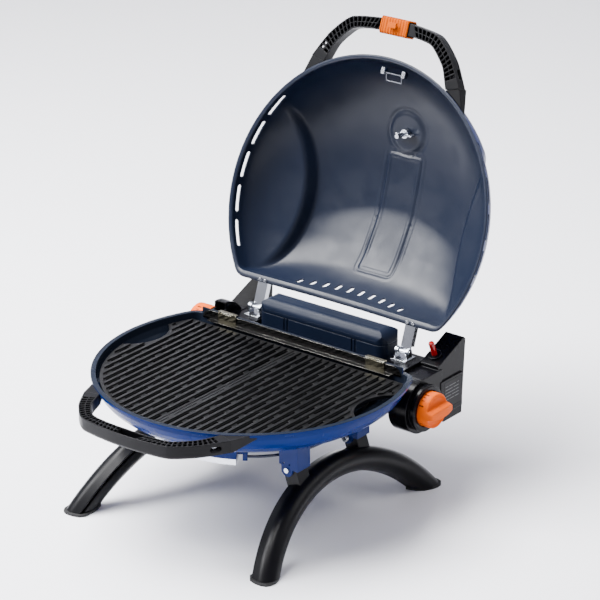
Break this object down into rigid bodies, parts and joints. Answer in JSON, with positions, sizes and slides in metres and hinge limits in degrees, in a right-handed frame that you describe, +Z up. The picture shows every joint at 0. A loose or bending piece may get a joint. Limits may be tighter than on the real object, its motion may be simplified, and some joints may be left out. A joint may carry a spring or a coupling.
{
  "type": "folding camp grill",
  "caption": "Portable round gas camp grill with a domed lid on a rear hinge, split cooking grate, side burner knobs, two carrying handles and folding arched legs.",
  "frame": {"origin": "on the ground, in the middle of the open grill's footprint box", "axes": "+Z up, -Y to the front (the carrying handle), +X to the cook's right; the lid hinge runs along X at the rear"},
  "size_m": [0.477, 0.6802, 0.6551],
  "materials": {
    "blue_enamel": "bright blue semi-gloss enamel",
    "lid_enamel": "satin slate-blue enamel inside, bright blue outside",
    "cast_grate": "matt black enamel",
    "polished_steel": "bright rolled stainless strip",
    "burner_steel": "plain stainless tube",
    "valve_brass": "machined brass",
    "bright_steel": "bright zinc or chrome plating",
    "spring_steel": "spring wire",
    "brace_wire": "dark navy coating",
    "orange_plastic": "moulded orange plastic, fine texture",
    "black_plastic": "moulded black glass-filled plastic",
    "slate_plastic": "satin slate-blue moulding",
    "label_foil": "dark grey label with plain lines",
    "red_plastic": "glossy red",
    "ceramic": "glazed ceramic",
    "lead_rubber": "black insulated lead",
    "clear_lens": "clear lens",
    "foot_rubber": "moulded black rubber",
    "tray_aluminium": "pressed aluminium"
  },
  "bodies": {
    "base": {"bowl": "blue_enamel", "guard_strip": "polished_steel", "guard_clips": "polished_steel", "burner_left": "burner_steel", "burner_right": "burner_steel", "burner_rests": "burner_steel", "valve_left": "valve_brass", "valve_right": "valve_brass", "manifold_pipe": "burner_steel", "gas_inlet": "valve_brass", "housing_left": "black_plastic", "housing_right": "black_plastic", "rear_crossbar": "black_plastic", "rear_cover_base": "slate_plastic", "rear_cover_top": "slate_plastic", "control_label": "label_foil", "igniter_collar": "black_plastic", "igniter_body": "ceramic", "igniter_spring": "spring_steel", "igniter_lead": "lead_rubber", "spark_electrode": "ceramic", "hinge_brackets": "bright_steel", "hinge_pins": "bright_steel", "bowl_handle": "black_plastic", "bowl_handle_sockets": "black_plastic", "bowl_handle_screws": "bright_steel", "leg_brackets": "blue_enamel", "leg_pins": "bright_steel", "leg_springs": "spring_steel", "leg_brace_ring": "brace_wire", "bracket_rivets": "bright_steel", "tray_holder": "blue_enamel"},
    "lid": {"lid_shell": "lid_enamel", "hinge_arms": "bright_steel", "hinge_rivets": "bright_steel", "lid_handle": "black_plastic", "lid_handle_sockets": "black_plastic", "lid_handle_screws": "bright_steel", "lid_bail_bracket": "bright_steel", "thermometer_case": "bright_steel", "thermometer_lens": "clear_lens", "thermometer_nut": "bright_steel"},
    "knob_left": {"knob_left": "orange_plastic", "valve_stem_left": "bright_steel"},
    "knob_right": {"knob_right": "orange_plastic", "valve_stem_right": "bright_steel"},
    "igniter_button": {"igniter_button": "red_plastic"},
    "lid_latch": {"lid_latch": "orange_plastic"},
    "lid_bail": {"lid_bail": "bright_steel"},
    "thermometer_needle": {"thermometer_needle": "red_plastic"},
    "leg_left": {"leg_left": "black_plastic", "foot_pads_left": "foot_rubber"},
    "leg_right": {"leg_right": "black_plastic", "foot_pads_right": "foot_rubber"},
    "drip_tray": {"drip_tray": "tray_aluminium"},
    "grate_left": {"grate_left": "cast_grate"},
    "grate_right": {"grate_right": "cast_grate"}
  },
  "joints": [
    {"name": "lid_hinge", "type": "hinge", "parent": "base", "child": "lid", "pos_m": [0, 0.13, 0.2105], "axis": [1, 0, 0], "range_deg": [0, 110]},
    {"name": "right_knob_turn", "type": "hinge", "parent": "base", "child": "knob_right", "pos_m": [0.196, 0.0945, 0.151], "axis": [1, 0, 0], "range_deg": [0, 180]},
    {"name": "left_knob_turn", "type": "hinge", "parent": "base", "child": "knob_left", "pos_m": [-0.196, 0.0945, 0.181], "axis": [-1, 0, 0], "range_deg": [0, 180]},
    {"name": "igniter_press", "type": "slide", "parent": "base", "child": "igniter_button", "axis": [0, 0.3887, -0.9214], "range_m": [0, 0.006], "stiffness_N_per_m": 300},
    {"name": "latch_slide", "type": "slide", "parent": "lid", "child": "lid_latch", "axis": [1, 0, 0], "range_m": [0, 0.012]},
    {"name": "bail_swing", "type": "hinge", "parent": "lid", "child": "lid_bail", "pos_m": [0, 0.29107, 0.56797], "axis": [1, 0, 0], "range_deg": [-110, 40]},
    {"name": "needle_turn", "type": "hinge", "parent": "lid", "child": "thermometer_needle", "pos_m": [0, 0.33037, 0.46534], "axis": [0, 0.9966, -0.0819], "range_deg": [-270, 0], "stiffness_Nm_per_rad": 0.001},
    {"name": "right_leg_fold", "type": "hinge", "parent": "base", "child": "leg_right", "pos_m": [0.13, -0.05, 0.115], "axis": [0, 1, 0], "range_deg": [0, 106]},
    {"name": "left_leg_fold", "type": "hinge", "parent": "base", "child": "leg_left", "pos_m": [-0.13, -0.05, 0.115], "axis": [0, -1, 0], "range_deg": [0, 106]},
    {"name": "tray_slide", "type": "slide", "parent": "base", "child": "drip_tray", "axis": [0, -1, 0], "range_m": [0, 0.09]},
    {"name": "grate_left_lift", "type": "slide", "parent": "base", "child": "grate_left", "axis": [0, 0, 1], "range_m": [0, 0.025]},
    {"name": "grate_right_lift", "type": "slide", "parent": "base", "child": "grate_right", "axis": [0, 0, 1], "range_m": [0, 0.025]}
  ]
}
